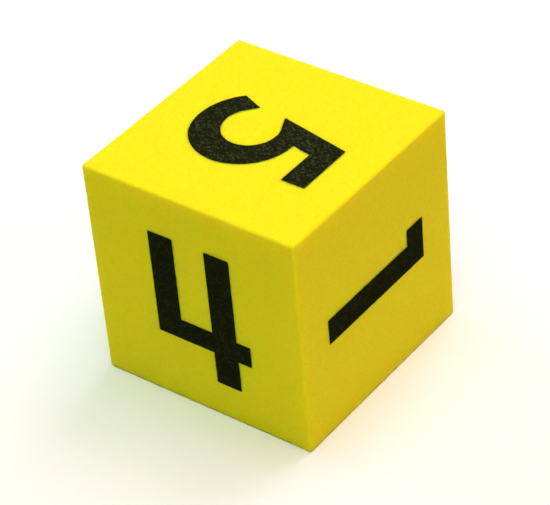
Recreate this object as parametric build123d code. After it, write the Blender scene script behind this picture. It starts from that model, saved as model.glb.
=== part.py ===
"""A large foam number die: one cube cut from a solid block of closed-cell foam, with a
bold numeral printed in black ink on each face. Opposite faces add up to seven.

Frame: millimetres, +Z up. The origin is the centre of the face that the die stands on.
The five is on top (+Z), the four faces -Y and the one faces +X.

Each numeral is a solid of its own: the thin layer of foam that the ink has soaked into.
It lies flush in the face, and the block has a pocket of exactly its shape.

The numerals' outlines are drawn flat, with the base line on y = 0 and the left edge on
x = 0, and are then carried to their faces.

Run it with build123d. It writes one STEP file per piece to parts/.
"""

import os
from math import asin, atan2, cos, degrees, hypot, radians, sin

from build123d import *

# ---- the foam block ----
cube_edge = 89.0  # length of every side of the cube, 3.5 inches
edge_round = 0.9  # radius left on the twelve cut edges

# ---- the printed ink ----
ink_depth = 0.3  # how deep the ink soaks into the open cells of the cut face
numeral_height = 56.4

# ---- strokes that several numerals share ----
upright_stroke = 10.2  # width of straight upright strokes
level_stroke = 9.3  # thickness of straight level strokes
bowl_side = 11.2  # width of a round stroke at its side
bowl_foot = 9.7  # thickness of a round stroke on the base line
bowl_head = 8.1  # thickness of a round stroke under another stroke
bowl_gap = 8.0  # bare foam between the bowl of the five and its top bar
terminal_height = 7.5  # height of the outer corner of a cut stroke end over the base line
terminal_lean = 21.4  # degrees of that cut from plumb

# ---- numeral one ----
one_flag_reach = 6.8  # how far the flag stands out from the upright

# ---- numeral two ----
two_width = 37.0
two_bowl_radius = 18.3
two_terminal_drop = 13.4  # how far below the top the outer corner of the cut end lies
two_terminal_slope = 53.2  # degrees from level of the straight edge inside the cut end

# ---- numeral three ----
three_reach = 17.8  # how far the lower bowl's end reaches left of the bowl's centre
three_upper_height = 30.4  # height of the upper bowl
three_upper_left = 1.3  # how much less the upper bowl reaches to the left
three_upper_right = 1.8  # how much less the upper bowl reaches to the right
three_waist_reach = 3.8  # how far the middle stroke reaches left of the counters' centres
three_terminal_slope = 33.0  # degrees from level of the straight edge inside the cut end

# ---- numeral four ----
four_width = 39.7
four_bar_height = 13.2  # height of the cross bar's underside
four_bar_overhang = 5.7  # how far the cross bar passes the right upright
four_bar = 8.6  # thickness of the cross bar

# ---- numeral five ----
five_reach = 16.6  # how far the bowl's end reaches left of the bowl's centre
five_bar_inset = 2.7  # how far the top bar ends short of the bowl's side
five_bar_left = 9.7  # top bar's left corner from the left edge
five_stem = 9.3  # level width of the leaning upright
five_lean = 11.1  # degrees of the upright from plumb
five_terminal_slope = 42.2  # degrees from level of the straight edge inside the cut end
five_tip_slope = 24.4  # degrees from level of the upright's cut lower end

# ---- numeral six ----
six_lean = 30.0  # degrees of the long stroke from plumb
six_side = 10.6  # width of the round strokes at both sides

# ---- drawing ----
same_point = 1e-6  # ends of curves that are closer than this are joined already

# ---- where each numeral is printed ----
# The outward normal of its face, the direction that its top points in, and how far the
# print is off the face's centre: to the right and up, as seen by someone reading it.
PLACES = {
    "numeral_one": ((1, 0, 0), (0, 1, 0), (-1.6, -1.2)),
    "numeral_two": ((0, 0, -1), (1, 0, 0), (0.6, 0.8)),
    "numeral_three": ((0, 1, 0), (0, 0, 1), (-0.8, 0.4)),
    "numeral_four": ((0, -1, 0), (0, 0, 1), (2.0, -1.3)),
    "numeral_five": ((0, 0, 1), (1, 0, 0), (1.4, 0.5)),
    "numeral_six": ((-1, 0, 0), (0, 1, 0), (0.7, -0.6)),
}


def from_point(point, angle, distance):
    """The point at a distance from another, in a direction given in degrees."""
    return (
        point[0] + distance * cos(radians(angle)),
        point[1] + distance * sin(radians(angle)),
    )


def crossing(first, first_angle, second, second_angle):
    """Where two straight lines meet, each given by a point and a direction in degrees."""
    dx, dy = second[0] - first[0], second[1] - first[1]
    across = dx * sin(radians(second_angle)) - dy * cos(radians(second_angle))
    return from_point(first, first_angle, across / sin(radians(second_angle - first_angle)))


def slope_under(point, centre, radius):
    """Slope in degrees of the line from a point that touches a circle from below."""
    dx, dy = centre[0] - point[0], centre[1] - point[1]
    return degrees(atan2(dy, dx) - asin(radius / hypot(dx, dy)))


def stroke(left, bottom, width, height):
    """A straight stroke, given by its lower left corner and its size."""
    return Pos(left, bottom) * Rectangle(width, height, align=(Align.MIN, Align.MIN))


def arc(centre, radius, first, last):
    """An arc about a centre, from one angle in degrees to another."""
    middle = (first + last) / 2
    return ThreePointArc(*(from_point(centre, angle, radius) for angle in (first, middle, last)))


def outlined(*steps):
    """A face inside a closed outline of points and curves, joined by straight edges."""
    edges = [step for step in steps if isinstance(step, Edge)]
    for step, following in zip(steps, steps[1:] + steps[:1]):
        start = step @ 1 if isinstance(step, Edge) else Vector(*step)
        end = following @ 0 if isinstance(following, Edge) else Vector(*following)
        if (end - start).length > same_point:
            edges.append(Line(start, end))
    return make_face(edges)


def counter_of(bowl_radius, right):
    """Centre and radius of the open space in a bowl that stands on the base line."""
    radius = bowl_radius - (bowl_foot + bowl_head) / 2
    return (right - bowl_side - radius, bowl_foot + radius), radius


def cut_end(left, counter, radius, slope):
    """The outer and inner corner of a bowl's cut end. The inner one lies on a straight
    edge that touches the counter."""
    outer = (left, terminal_height)
    touch = from_point(counter, -90 - slope, radius)
    return outer, crossing(outer, 90 - terminal_lean, touch, -slope)


def one():
    """An upright with a square flag at its top left."""
    flag_width = one_flag_reach + upright_stroke
    flag = stroke(0, numeral_height - level_stroke, flag_width, level_stroke)
    return stroke(one_flag_reach, 0, upright_stroke, numeral_height) + flag


def two():
    """A bowl that opens to the left, a straight diagonal and a level foot."""
    bowl = (two_width / 2, numeral_height - two_bowl_radius)
    radius = two_bowl_radius - (level_stroke + bowl_side) / 2
    counter = (
        bowl[0] + two_bowl_radius - bowl_side - radius,
        numeral_height - level_stroke - radius,
    )
    heel = (0, level_stroke)
    slope = slope_under(heel, counter, radius)
    ending = 180 - degrees(asin(1 - two_terminal_drop / two_bowl_radius))
    end_outer = from_point(bowl, ending, two_bowl_radius)
    touching = 90 + two_terminal_slope
    touch = from_point(counter, touching, radius)
    return outlined(
        (0, 0),
        (two_width, 0),
        (two_width, level_stroke),
        crossing(from_point(bowl, slope - 90, two_bowl_radius), slope, heel, 0),
        arc(bowl, two_bowl_radius, slope - 90, ending),
        crossing(end_outer, terminal_lean - 90, touch, two_terminal_slope),
        arc(counter, radius, touching, slope - 90),
        heel,
    )


def open_bowl(left, right, height):
    """One bowl of the three, standing on the base line and open to the left."""
    bowl = (right - height / 2, height / 2)
    counter, radius = counter_of(height / 2, right)
    end_outer, end_inner = cut_end(left, counter, radius, three_terminal_slope)
    waist_start = counter[0] - three_waist_reach
    return outlined(
        (waist_start, height),
        arc(bowl, height / 2, 90, -90),
        TangentArc((bowl[0], 0), end_outer, tangent=(-1, 0)),
        end_inner,
        arc(counter, radius, -90 - three_terminal_slope, 90),
        (waist_start, height - bowl_head),
    )


def three():
    """Two open bowls, the upper one upside down, which share the middle stroke."""
    lower_height = numeral_height - three_upper_height + bowl_head
    width = three_reach + lower_height / 2
    lower = open_bowl(0, width, lower_height)
    upper = open_bowl(three_upper_left, width - three_upper_right, three_upper_height)
    return lower + Pos(0, numeral_height) * mirror(upper, Plane.XZ)


def four():
    """Two uprights and a cross bar, with no diagonal and an open top."""
    left_height = numeral_height - four_bar_height
    right_start = four_width - four_bar_overhang - upright_stroke
    return (
        stroke(0, four_bar_height, four_width, four_bar)
        + stroke(0, four_bar_height, upright_stroke, left_height)
        + stroke(right_start, 0, upright_stroke, numeral_height)
    )


def large_bowl_radius():
    """Outer radius of the bowl of the five and of the six."""
    return (numeral_height - level_stroke - bowl_gap) / 2


def five():
    """A top bar, a short leaning upright and a bowl that opens to the left."""
    bowl_radius = large_bowl_radius()
    width = five_reach + bowl_radius
    counter, radius = counter_of(bowl_radius, width)
    end_outer, end_inner = cut_end(0, counter, radius, five_terminal_slope)
    bar_right = width - five_bar_inset
    bar_under = numeral_height - level_stroke
    upright = 90 - five_lean
    stem_left = (five_bar_left, numeral_height)
    stem_right = (five_bar_left + five_stem, numeral_height)
    touching = 90 + five_tip_slope
    touch = from_point(counter, touching, radius)
    return outlined(
        stem_left,
        (bar_right, numeral_height),
        (bar_right, bar_under),
        crossing(stem_right, upright, (0, bar_under), 0),
        crossing(stem_right, upright, (0, 2 * bowl_radius), 0),
        arc((five_reach, bowl_radius), bowl_radius, 90, -90),
        TangentArc((five_reach, 0), end_outer, tangent=(-1, 0)),
        end_inner,
        arc(counter, radius, -90 - five_terminal_slope, touching),
        crossing(stem_left, upright, touch, five_tip_slope),
    )


def six():
    """A closed bowl with an oval counter, and a straight stroke that runs into its side."""
    radius = large_bowl_radius()
    bowl = (radius, radius)
    counter_height = 2 * radius - bowl_foot - bowl_head
    counter = Ellipse(radius - six_side, counter_height / 2)
    direction = 90 - six_lean
    outer = from_point(bowl, direction + 90, radius)
    inner = from_point(bowl, direction + 90, radius - upright_stroke)
    top = (0, numeral_height)
    long_stroke = outlined(
        crossing(outer, direction, top, 0), crossing(inner, direction, top, 0), inner, outer
    )
    return (
        Pos(*bowl) * Circle(radius)
        + long_stroke
        - Pos(radius, bowl_foot + counter_height / 2) * counter
    )


OUTLINES = {
    "numeral_one": one,
    "numeral_two": two,
    "numeral_three": three,
    "numeral_four": four,
    "numeral_five": five,
    "numeral_six": six,
}


def printed_numeral(outline, normal, top, shift):
    """The inked layer of one face, as a solid that is flush with the face."""
    middle = outline.bounding_box().center()
    centred = Pos(shift[0] - middle.X, shift[1] - middle.Y) * outline
    outward = Vector(*normal)
    face_plane = Plane(
        origin=Vector(0, 0, cube_edge / 2) + outward * (cube_edge / 2),
        x_dir=Vector(*top).cross(outward),
        z_dir=outward,
    )
    return extrude(face_plane * centred, amount=ink_depth, dir=-outward)


def foam_block(numerals):
    """The cube with its edges rounded and a pocket for the ink of each numeral."""
    cube = Pos(0, 0, cube_edge / 2) * Box(cube_edge, cube_edge, cube_edge)
    cube = fillet(cube.edges(), edge_round)
    for numeral in numerals:
        cube -= numeral
    return cube


def main():
    pieces = {
        name: printed_numeral(OUTLINES[name](), *place) for name, place in PLACES.items()
    }
    pieces["foam_block"] = foam_block(pieces.values())
    os.makedirs("parts", exist_ok=True)
    for name, piece in pieces.items():
        export_step(piece, f"parts/{name}.step")
        print(name, round(piece.volume, 1), "mm3")


main()
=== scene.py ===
"""Looks of a large foam number die: a cube cut from closed-cell foam, with a printed
numeral on each face.

The file is laid out as an add-on and is run as a script. Each operator makes one kind of
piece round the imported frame, in metres, +Z up, with the die standing on z = 0.
"""

import math
from collections import Counter, namedtuple
from contextlib import contextmanager

import bmesh
import bpy
from bpy.props import FloatProperty, FloatVectorProperty, IntProperty, PointerProperty
from bpy.types import Operator, Panel, PropertyGroup
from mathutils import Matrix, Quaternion, Vector


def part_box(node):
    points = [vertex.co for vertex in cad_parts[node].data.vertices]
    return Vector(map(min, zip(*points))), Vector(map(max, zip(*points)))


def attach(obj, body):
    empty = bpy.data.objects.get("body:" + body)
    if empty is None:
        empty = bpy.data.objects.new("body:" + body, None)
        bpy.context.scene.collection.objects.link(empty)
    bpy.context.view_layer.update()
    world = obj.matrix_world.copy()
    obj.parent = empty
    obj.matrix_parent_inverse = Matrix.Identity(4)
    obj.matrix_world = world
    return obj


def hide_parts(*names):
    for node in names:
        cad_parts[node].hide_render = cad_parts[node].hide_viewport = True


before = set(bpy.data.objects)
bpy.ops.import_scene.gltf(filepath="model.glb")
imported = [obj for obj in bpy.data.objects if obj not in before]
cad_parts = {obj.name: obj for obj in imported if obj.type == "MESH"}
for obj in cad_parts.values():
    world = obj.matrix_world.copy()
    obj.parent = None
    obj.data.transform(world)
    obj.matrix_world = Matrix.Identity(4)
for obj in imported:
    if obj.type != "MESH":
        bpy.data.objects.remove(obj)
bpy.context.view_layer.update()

bl_info = {
    "name": "Foam number die",
    "version": (1, 0, 0),
    "blender": (4, 5, 0),
    "location": "View3D > Sidebar > Die",
    "description": "Builds a large foam number die and a plain studio to show it in",
    "category": "Object",
}

MM = 0.001
BLOCK_LOW, BLOCK_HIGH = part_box("foam_block")
BLOCK_CENTRE = (BLOCK_LOW + BLOCK_HIGH) / 2
CUBE_EDGE = BLOCK_HIGH.z - BLOCK_LOW.z
NUMERALS = ("one", "two", "three", "four", "five", "six")
GLINT_NUMERAL = "five"  # the numeral on the top face: its ink gets much stronger lighter flecks, as painted glints of the lights above

SoftLight = namedtuple("SoftLight", "name place diameter colour")

DRIFT_LENGTH = 22 * MM  # width of the shallow waves that a blade leaves in soft foam
WEAR_LENGTH = 3 * MM  # width of the dents in the edges
WEAR_REACH = 3 * MM  # how far from an edge the dents reach
BLEED_LENGTH = 1.2 * MM  # width of the waves in the ink's edge
STAMP_CLEARANCE = 1 * MM  # how far a stamp stands out of the face
CELL_DEPTH = 0.2 * MM  # depth of an opened cell
SAME_POINT = 0.001 * MM  # points closer than this are one
FLAT_ANGLE = math.radians(1)  # faces that turn by less than this are one
SMOOTH_ANGLE = math.radians(40)  # edges that turn by more than this look sharp
EDGE_SEGMENTS = 4  # faces across a rounded edge
FACING = 0.9  # cosine over which a face looks outwards
LYING = 0.5  # cosine under which an edge lies along the cube's face

FLOOR_RADIUS = 1.1  # metres
FLOOR_SIDES = 96
SENSOR_WIDTH = 36  # millimetres
# round soft lights, all aimed at the die; the setting with a light's name is its power
LIGHTS = (
    SoftLight("overhead", (0.0, 0.0, 1.6), 1.6, "FCFFFA"),
    SoftLight("back", (0.1, 0.9, 1.4), 1.0, "FFE7FF"),
    SoftLight("warm", (0.9, 0.2, 1.4), 1.0, "FF7A84"),
    SoftLight("front", (0.4, -0.6, 1.4), 0.8, "E2FFC8"),
    SoftLight("cool", (-1.5, 0.0, 0.7), 0.8, "A2DCFF"),
)


def linear(code):
    """An sRGB hex colour as linear red, green and blue."""
    parts = [int(code[place:place + 2], 16) / 255 for place in (0, 2, 4)]
    return tuple(c / 12.92 if c <= 0.04045 else ((c + 0.055) / 1.055) ** 2.4 for c in parts)


class FoamSettings(PropertyGroup):
    """Sizes and colours of the cut foam."""

    colour: FloatVectorProperty(
        name="Foam colour", description="Colour of the foam's cell walls", subtype="COLOR",
        default=linear("EFE016"), min=0, max=1,
    )
    # painted shade: the cup colour darkens the hollows of the opened cells, as the shade that
    # the bump doesn't cast
    cup_painted_shade_colour: FloatVectorProperty(
        name="Cup colour", description="Colour deep in the darkest cells", subtype="COLOR",
        default=linear("E6D212"), min=0, max=1,
    )
    cell_size: FloatProperty(
        name="Cell size", description="Width of one cell of the foam", subtype="DISTANCE",
        default=0.7 * MM,
    )
    glow: FloatProperty(
        name="Glow", description="How far light spreads inside the foam", subtype="DISTANCE",
        default=5.0 * MM,
    )
    edge_round: FloatProperty(
        name="Edge rounding", description="Radius left on the cut edges", subtype="DISTANCE",
        default=1.1 * MM,
    )
    saw_drift: FloatProperty(
        name="Saw drift", description="How far the faces are out of flat", subtype="DISTANCE",
        default=0.1 * MM,
    )
    edge_wear: FloatProperty(
        name="Edge wear", description="Deepest nick in the cut edges", subtype="DISTANCE",
        default=0.2 * MM,
    )
    steps: IntProperty(
        name="Steps", description="Cuts along every long edge of the cube", default=116,
    )


class InkSettings(PropertyGroup):
    """Sizes and colours of the printed numerals."""

    colour: FloatVectorProperty(
        name="Ink colour", description="Colour of the ink where it is thick", subtype="COLOR",
        default=linear("1C1F0E"), min=0, max=1,
    )
    # the fleck colour: thin ink on every numeral, and painted glints on the top numeral
    thin_ink_and_glint_colour: FloatVectorProperty(
        name="Thin ink colour", description="Colour where the ink hardly covers the foam",
        subtype="COLOR", default=linear("3A4026"), min=0, max=1,
    )
    flecks: FloatProperty(
        name="Flecks", description="How far a thinly inked cell goes to the thin ink colour",
        subtype="FACTOR", default=0.35, min=0, max=1,
    )
    # painted glints: the stronger flecks that lighten the ink of the numeral on the top face, as
    # if the lights above caught it
    glint_flecks: FloatProperty(
        name="Painted glint flecks", description="The same where the print is rubbed",
        subtype="FACTOR", default=1.0, min=0, max=1,
    )
    bleed: FloatProperty(
        name="Bleed", description="How far the ink creeps past the edge of the stamp",
        subtype="DISTANCE", default=0.3 * MM,
    )
    outline_step: FloatProperty(
        name="Outline step", description="Longest straight piece of a numeral's outline",
        subtype="DISTANCE", default=0.6 * MM,
    )


class StudioSettings(PropertyGroup):
    """Floor, lights and camera."""

    floor_colour: FloatVectorProperty(
        name="Floor colour", description="Colour of the plain floor", subtype="COLOR",
        default=linear("F8F9F7"), min=0, max=1,
    )
    overhead: FloatProperty(
        name="Overhead light", description="Power of the large light over the die",
        default=17.6, unit="POWER",
    )
    back: FloatProperty(
        name="Back light", description="Power of the light high behind the die",
        default=10.2, unit="POWER",
    )
    warm: FloatProperty(
        name="Warm light", description="Power of the warm light on the right",
        default=4.45, unit="POWER",
    )
    front: FloatProperty(
        name="Front light", description="Power of the light high in front of the die",
        default=6.5, unit="POWER",
    )
    cool: FloatProperty(
        name="Cool light", description="Power of the cool light on the left",
        default=5.95, unit="POWER",
    )
    room_light: FloatProperty(
        name="Room light", description="Strength of the even light from all round", default=0.02,
    )
    azimuth: FloatProperty(
        name="Azimuth", description="Direction that the camera looks from, 0 is from -Y",
        subtype="ANGLE", default=math.radians(39.66),
    )
    elevation: FloatProperty(
        name="Elevation", description="Height of the camera over the horizon",
        subtype="ANGLE", default=math.radians(37.75),
    )
    roll: FloatProperty(
        name="Roll", description="Turn of the camera about its own axis", subtype="ANGLE",
        default=math.radians(-5.4),
    )
    distance: FloatProperty(
        name="Distance", description="Distance from the camera to the point that it looks at",
        subtype="DISTANCE", default=0.9097,
    )
    focal_length: FloatProperty(
        name="Focal length", description="Focal length on a 36 mm wide sensor, in millimetres",
        default=170.45,
    )
    aim: FloatVectorProperty(
        name="Aim", description="What the camera looks at, from the die's centre",
        subtype="TRANSLATION", default=(1.6 * MM, -2.0 * MM, -3.25 * MM),
    )


def activate(piece):
    """Makes a piece the only selected one."""
    bpy.ops.object.select_all(action="DESELECT")
    piece.select_set(True)
    bpy.context.view_layer.objects.active = piece


@contextmanager
def edit_mode(piece):
    """Edits a piece, with nothing in it selected, and gives its mesh for selecting."""
    activate(piece)
    bpy.ops.object.mode_set(mode="EDIT")
    bpy.ops.mesh.select_mode(type="VERT")
    bpy.ops.mesh.select_all(action="DESELECT")
    yield bmesh.from_edit_mesh(piece.data)
    bpy.ops.object.mode_set(mode="OBJECT")


def select_edges(mesh, wanted):
    """Selects the edges of an edited mesh that pass the test, and returns how many do."""
    bpy.ops.mesh.select_all(action="DESELECT")
    bpy.ops.mesh.select_mode(type="EDGE")
    chosen = [edge for edge in mesh.edges if wanted(edge)]
    for edge in chosen:
        edge.select_set(True)
    return len(chosen)


def apply_modifier(piece, modifier):
    activate(piece)
    bpy.ops.object.modifier_apply(modifier=modifier.name)


def roughen(piece, name, height, width, group=""):
    """Moves a surface out by up to the height, or in where it is below zero, in lumps of
    about the width."""
    texture = bpy.data.textures.new(name, "CLOUDS")
    texture.noise_scale = width
    relief = piece.modifiers.new(name, "DISPLACE")
    relief.texture = texture
    relief.texture_coords = "LOCAL"
    relief.strength = abs(height)
    relief.mid_level = 1 if height < 0 else 0
    relief.vertex_group = group
    apply_modifier(piece, relief)
    bpy.data.textures.remove(texture)


# ---- materials ----


def add_node(tree, kind, inputs=None, **settings):
    """Adds a node with its settings, and fills or links its inputs."""
    made = tree.nodes.new(kind)
    for name, value in settings.items():
        setattr(made, name, value)
    for socket, value in (inputs or {}).items():
        if isinstance(value, bpy.types.NodeSocket):
            tree.links.new(value, made.inputs[socket])
        else:
            made.inputs[socket].default_value = value
    return made


def new_material(name):
    """An empty node material with its output, as the tree and the output node."""
    material = bpy.data.materials.new(name)
    material.use_nodes = True
    material.node_tree.nodes.clear()
    return material, add_node(material.node_tree, "ShaderNodeOutputMaterial")


def rgba(colour):
    return (*colour, 1)


MIX_A, MIX_B, MIX_RESULT = 6, 7, 2  # places of a Mix node's colour sockets

LUMP = 2.0  # width of the lumps that make the cells uneven, in cells
WOBBLE = 0.8  # how far they push the walls, in cells
WALL = 0.35  # how wide a wall's slope is, in cells
MOST_INKED = 0.6  # share of the cells that took all of their ink


def opened_cells(tree, cell_size):
    """The cells that a cut opens, with a wobble so that no two are alike. Gives the height
    of the surface, from 0 in the deepest cup to 1 on the walls between cups, and a random
    value for each cell."""
    place = add_node(tree, "ShaderNodeTexCoord").outputs["Object"]
    noise = add_node(
        tree, "ShaderNodeTexNoise",
        {"Vector": place, "Scale": 1 / (LUMP * cell_size), "Detail": 1.0},
    )
    uneven = add_node(
        tree, "ShaderNodeVectorMath",
        {0: noise.outputs["Color"], 1: (WOBBLE * cell_size,) * 3, 2: place},
        operation="MULTIPLY_ADD",
    ).outputs["Vector"]
    cell_inputs = {"Vector": uneven, "Scale": 1 / cell_size}
    edges = add_node(tree, "ShaderNodeTexVoronoi", cell_inputs, feature="DISTANCE_TO_EDGE")
    cells = add_node(tree, "ShaderNodeTexVoronoi", cell_inputs, feature="F1")
    chance = add_node(
        tree, "ShaderNodeSeparateColor", {"Color": cells.outputs["Color"]}
    ).outputs["Red"]
    cup = add_node(
        tree, "ShaderNodeMapRange",
        {"Value": edges.outputs["Distance"], "From Max": WALL},
        interpolation_type="SMOOTHSTEP",
    ).outputs["Result"]
    depth = add_node(
        tree, "ShaderNodeMath", {0: cup, 1: chance}, operation="MULTIPLY"
    ).outputs["Value"]
    height = add_node(
        tree, "ShaderNodeMath", {0: 1.0, 1: depth}, operation="SUBTRACT"
    ).outputs["Value"]
    return height, chance


def cut_foam(settings):
    """Closed-cell EVA foam, sawn: matt and bright, with a fine grain of opened cells. The
    cups of the cells are painted a little darker than the walls between them, as painted shade."""
    material, output = new_material("sawn_closed_cell_foam")
    tree = material.node_tree
    height, _ = opened_cells(tree, settings.cell_size)
    # painted shade: the foam goes towards the cup colour where the cells are deepest
    colour = add_node(
        tree, "ShaderNodeMix",
        {"Factor": height, MIX_A: rgba(settings.cup_painted_shade_colour), MIX_B: rgba(settings.colour)},
        data_type="RGBA",
    ).outputs[MIX_RESULT]
    grain = add_node(
        tree, "ShaderNodeBump", {"Height": height, "Strength": 0.3, "Distance": CELL_DEPTH}
    ).outputs["Normal"]
    shader = add_node(
        tree, "ShaderNodeBsdfPrincipled",
        {
            "Base Color": colour, "Roughness": 0.9, "IOR": 1.48, "Specular IOR Level": 0.15,
            "Subsurface Weight": 1.0, "Subsurface Radius": (1.0, 0.6, 0.1),
            "Subsurface Scale": settings.glow, "Normal": grain,
        },
    )
    tree.links.new(shader.outputs["BSDF"], output.inputs["Surface"])
    return material


def printed_ink(name, settings, cell_size, flecks):
    """Screen-printing ink, soaked into the opened cells: nearly black with no gloss, because
    the cells trap the light. Where a cell holds less ink, a fleck of lighter grey shows; with a
    large flecks value, as on the top numeral, the flecks are painted glints of the lights above."""
    material, output = new_material(name)
    tree = material.node_tree
    height, chance = opened_cells(tree, cell_size)
    # the flecks: lighter cells where the ink is thin, and on the top numeral painted glints of
    # the lights above
    thin = add_node(
        tree, "ShaderNodeMapRange",
        {"Value": chance, "From Min": MOST_INKED, "From Max": 1.0, "To Max": flecks},
    ).outputs["Result"]
    colour = add_node(
        tree, "ShaderNodeMix",
        {"Factor": thin, MIX_A: rgba(settings.colour), MIX_B: rgba(settings.thin_ink_and_glint_colour)},
        data_type="RGBA",
    ).outputs[MIX_RESULT]
    gloss = add_node(
        tree, "ShaderNodeMapRange", {"Value": chance, "To Min": 0.6, "To Max": 0.9}
    ).outputs["Result"]
    grain = add_node(
        tree, "ShaderNodeBump", {"Height": height, "Strength": 0.6, "Distance": CELL_DEPTH}
    ).outputs["Normal"]
    shader = add_node(
        tree, "ShaderNodeBsdfPrincipled",
        {
            "Base Color": colour, "Roughness": gloss, "IOR": 1.5, "Specular IOR Level": 0.0,
            "Normal": grain,
        },
    )
    tree.links.new(shader.outputs["BSDF"], output.inputs["Surface"])
    return material


def studio_floor(settings):
    """Seamless backdrop paper: white, with no sheen."""
    material, output = new_material("matt_white_paper")
    shader = add_node(
        material.node_tree, "ShaderNodeBsdfPrincipled",
        {"Base Color": rgba(settings.floor_colour), "Roughness": 0.9, "IOR": 1.4},
    )
    material.node_tree.links.new(shader.outputs["BSDF"], output.inputs["Surface"])
    return material


# ---- the pieces ----


def edge_distance(point):
    """How far a point on the cube's surface is from the nearest of the twelve edges."""
    to_faces = sorted(CUBE_EDGE / 2 - abs(part) for part in point - BLOCK_CENTRE)
    return to_faces[1]


def near_edges(piece, reach):
    """A vertex group that is 1 on the cut edges and fades to 0 at the reach from them."""
    group = piece.vertex_groups.new(name="cut_edges")
    for vertex in piece.data.vertices:
        weight = 1 - edge_distance(vertex.co) / reach
        if weight > 0:
            group.add([vertex.index], weight, "REPLACE")
    return group.name


def foam_cube(settings):
    """A cube with rounded edges and a fine grid of faces."""
    bpy.ops.object.select_all(action="DESELECT")
    bpy.ops.mesh.primitive_cube_add(size=CUBE_EDGE, location=BLOCK_CENTRE)
    block = bpy.context.object
    block.name = block.data.name = "cut_foam_block"
    bpy.ops.object.transform_apply(location=True, rotation=True, scale=True)
    with edit_mode(block) as mesh:
        bpy.ops.mesh.select_all(action="SELECT")
        bpy.ops.mesh.bevel(offset=settings.edge_round, segments=EDGE_SEGMENTS, affect="EDGES")
        select_edges(mesh, lambda edge: edge.calc_length() > CUBE_EDGE / 2)
        bpy.ops.mesh.subdivide(number_cuts=settings.steps)
    return block


def stamp(numeral):
    """A solid with a numeral's outline, from the bottom of its ink to clear of the face."""
    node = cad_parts[f"numeral_{numeral}"]
    low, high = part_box(node.name)
    thickness = high - low
    across = min(range(3), key=lambda axis: thickness[axis])
    outward = Vector((0, 0, 0))
    outward[across] = math.copysign(1, (low + high)[across] / 2 - BLOCK_CENTRE[across])
    made = bpy.data.objects.new(f"stamp_{numeral}", node.data.copy())
    bpy.context.collection.objects.link(made)
    step = bpy.context.scene.ink.outline_step
    with edit_mode(made) as mesh:
        bpy.ops.mesh.select_all(action="SELECT")
        bpy.ops.mesh.remove_doubles(threshold=SAME_POINT)
        bpy.ops.mesh.dissolve_limited(angle_limit=FLAT_ANGLE)
        bpy.ops.mesh.select_all(action="DESELECT")
        bpy.ops.mesh.select_mode(type="FACE")
        for face in mesh.faces:
            face.select_set(face.normal.dot(outward) > FACING)
        bpy.ops.transform.translate(value=outward * STAMP_CLEARANCE)

        def long_outline(edge):
            along = (edge.verts[1].co - edge.verts[0].co).normalized()
            return abs(along.dot(outward)) < LYING and edge.calc_length() > step

        while select_edges(mesh, long_outline):
            bpy.ops.mesh.subdivide(number_cuts=1)
    return made


def combine(piece, tool, operation):
    """Cuts a piece with a solid tool, or keeps what lies in both."""
    cut = piece.modifiers.new(operation.lower(), "BOOLEAN")
    cut.object = tool
    cut.operation = operation
    cut.solver = "MANIFOLD"
    apply_modifier(piece, cut)


def close_slivers(piece):
    """Closes up the slivers that a cut leaves, and deletes empty folds, which are two faces
    on the same corners."""
    with edit_mode(piece) as mesh:
        bpy.ops.mesh.select_all(action="SELECT")
        bpy.ops.mesh.dissolve_degenerate(threshold=SAME_POINT)
        bpy.ops.mesh.select_all(action="DESELECT")
        bpy.ops.mesh.select_mode(type="FACE")
        sharing = Counter(frozenset(face.verts) for face in mesh.faces)
        for face in mesh.faces:
            face.select_set(sharing[frozenset(face.verts)] > 1)
        bpy.ops.mesh.delete(type="FACE")


def dress(piece, material, node):
    """Gives a finished piece its material and smooth shading, puts it under the root, and hides
    the part of the frame that it takes the place of.
    """
    piece.data.materials.clear()
    piece.data.materials.append(material)
    activate(piece)
    bpy.ops.object.shade_smooth_by_angle(angle=SMOOTH_ANGLE)
    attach(piece, "root")
    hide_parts(node)


class DIE_OT_cut_foam_block(Operator):
    """Model the cube of foam as the saw leaves it, with softened, slightly worn edges"""

    bl_idname = "die.cut_foam_block"
    bl_label = "Cut Foam Block"

    def execute(self, context):
        settings = context.scene.foam
        block = foam_cube(settings)
        roughen(block, "saw_drift", -settings.saw_drift, DRIFT_LENGTH)
        edges = near_edges(block, WEAR_REACH)
        roughen(block, "edge_wear", -settings.edge_wear, WEAR_LENGTH, edges)
        dress(block, cut_foam(settings), "foam_block")
        return {"FINISHED"}


class DIE_OT_print_numerals(Operator):
    """Print the six numerals: each is the layer of the foam's own surface under its stamp"""

    bl_idname = "die.print_numerals"
    bl_label = "Print Numerals"

    def execute(self, context):
        block = bpy.data.objects["cut_foam_block"]
        settings = context.scene.ink
        cell_size = context.scene.foam.cell_size
        fresh = printed_ink("screen_printed_ink", settings, cell_size, settings.flecks)
        # the same ink with painted glints, for the numeral on the top face
        glinting_ink = printed_ink(
            "rubbed_screen_printed_ink", settings, cell_size, settings.glint_flecks
        )
        for numeral in NUMERALS:
            print_stamp = stamp(numeral)
            roughen(print_stamp, "bleed", settings.bleed, BLEED_LENGTH)
            activate(block)
            bpy.ops.object.duplicate()
            film = context.object
            film.name = film.data.name = f"printed_{numeral}"
            # the copy no longer stands for the block
            for key in [key for key in film.keys() if key.startswith("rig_")]:
                del film[key]
            combine(film, print_stamp, "INTERSECT")
            combine(block, print_stamp, "DIFFERENCE")
            bpy.data.objects.remove(print_stamp)
            close_slivers(film)
            # the numeral on the top face gets the ink with painted glints
            ink = glinting_ink if numeral == GLINT_NUMERAL else fresh
            dress(film, ink, f"numeral_{numeral}")
        close_slivers(block)
        activate(block)
        bpy.ops.object.shade_smooth_by_angle(angle=SMOOTH_ANGLE)
        return {"FINISHED"}


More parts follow.
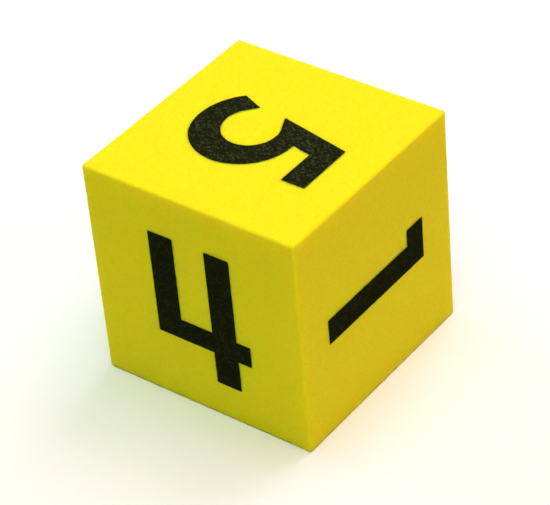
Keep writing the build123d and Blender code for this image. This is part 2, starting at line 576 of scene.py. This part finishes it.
class DIE_OT_set_studio(Operator):
    """Lay the floor, hang the lights and place the camera"""

    bl_idname = "die.set_studio"
    bl_label = "Set Studio"

    def execute(self, context):
        settings = context.scene.studio
        bpy.ops.object.select_all(action="DESELECT")
        bpy.ops.mesh.primitive_circle_add(
            vertices=FLOOR_SIDES, radius=FLOOR_RADIUS, fill_type="NGON"
        )
        floor = context.object
        floor.name = "floor"
        floor.data.materials.append(studio_floor(settings))
        for light in LIGHTS:
            aim = BLOCK_CENTRE - Vector(light.place)
            turn = aim.to_track_quat("-Z", "Y").to_euler()
            bpy.ops.object.light_add(type="AREA", location=light.place, rotation=turn)
            lamp = context.object
            lamp.name = f"{light.name}_light"
            lamp.data.shape = "DISK"
            lamp.data.size = light.diameter
            lamp.data.energy = getattr(settings, light.name)
            lamp.data.color = linear(light.colour)
        self.light_room(context, settings)
        self.place_camera(context, settings)
        context.scene.view_settings.view_transform = "Standard"
        return {"FINISHED"}

    def light_room(self, context, settings):
        """A faint even light from all round, and walls as pale as the floor, which show past
        its rim and give no light."""
        world = bpy.data.worlds.new("room")
        context.scene.world = world
        world.use_nodes = True
        tree = world.node_tree
        tree.nodes.clear()
        pale = rgba(settings.floor_colour)
        light = add_node(
            tree, "ShaderNodeBackground", {"Color": pale, "Strength": settings.room_light}
        )
        walls = add_node(tree, "ShaderNodeBackground", {"Color": pale, "Strength": 1.0})
        seen = add_node(tree, "ShaderNodeLightPath")
        room = add_node(
            tree, "ShaderNodeMixShader",
            {
                0: seen.outputs["Is Camera Ray"],
                1: light.outputs["Background"],
                2: walls.outputs["Background"],
            },
        )
        add_node(tree, "ShaderNodeOutputWorld", {"Surface": room.outputs["Shader"]})

    def place_camera(self, context, settings):
        level = math.cos(settings.elevation)
        away = Vector((
            math.sin(settings.azimuth) * level,
            -math.cos(settings.azimuth) * level,
            math.sin(settings.elevation),
        ))
        aim = BLOCK_CENTRE + Vector(settings.aim)
        turn = (-away).to_track_quat("-Z", "Y") @ Quaternion((0, 0, 1), settings.roll)
        place = aim + away * settings.distance
        bpy.ops.object.camera_add(location=place, rotation=turn.to_euler())
        camera = context.object
        camera.name = "camera"
        camera.data.sensor_width = SENSOR_WIDTH
        camera.data.lens = settings.focal_length
        context.scene.camera = camera


class DIE_PT_sidebar(Panel):
    """The die's settings and operators in the 3D view's sidebar"""

    bl_idname = "DIE_PT_sidebar"
    bl_label = "Foam Number Die"
    bl_space_type = "VIEW_3D"
    bl_region_type = "UI"
    bl_category = "Die"

    def draw(self, context):
        for group, operator in (
            ("foam", "die.cut_foam_block"),
            ("ink", "die.print_numerals"),
            ("studio", "die.set_studio"),
        ):
            box = self.layout.box()
            settings = getattr(context.scene, group)
            for name in settings.bl_rna.properties.keys():
                if name not in ("rna_type", "name"):
                    box.prop(settings, name)
            box.operator(operator)


CLASSES = (
    FoamSettings,
    InkSettings,
    StudioSettings,
    DIE_OT_cut_foam_block,
    DIE_OT_print_numerals,
    DIE_OT_set_studio,
    DIE_PT_sidebar,
)


def register():
    for each in CLASSES:
        bpy.utils.register_class(each)
    bpy.types.Scene.foam = PointerProperty(type=FoamSettings)
    bpy.types.Scene.ink = PointerProperty(type=InkSettings)
    bpy.types.Scene.studio = PointerProperty(type=StudioSettings)


def unregister():
    del bpy.types.Scene.studio
    del bpy.types.Scene.ink
    del bpy.types.Scene.foam
    for each in reversed(CLASSES):
        bpy.utils.unregister_class(each)


def main():
    register()
    bpy.ops.die.cut_foam_block()
    bpy.ops.die.print_numerals()
    bpy.ops.die.set_studio()


if __name__ == "__main__":
    main()
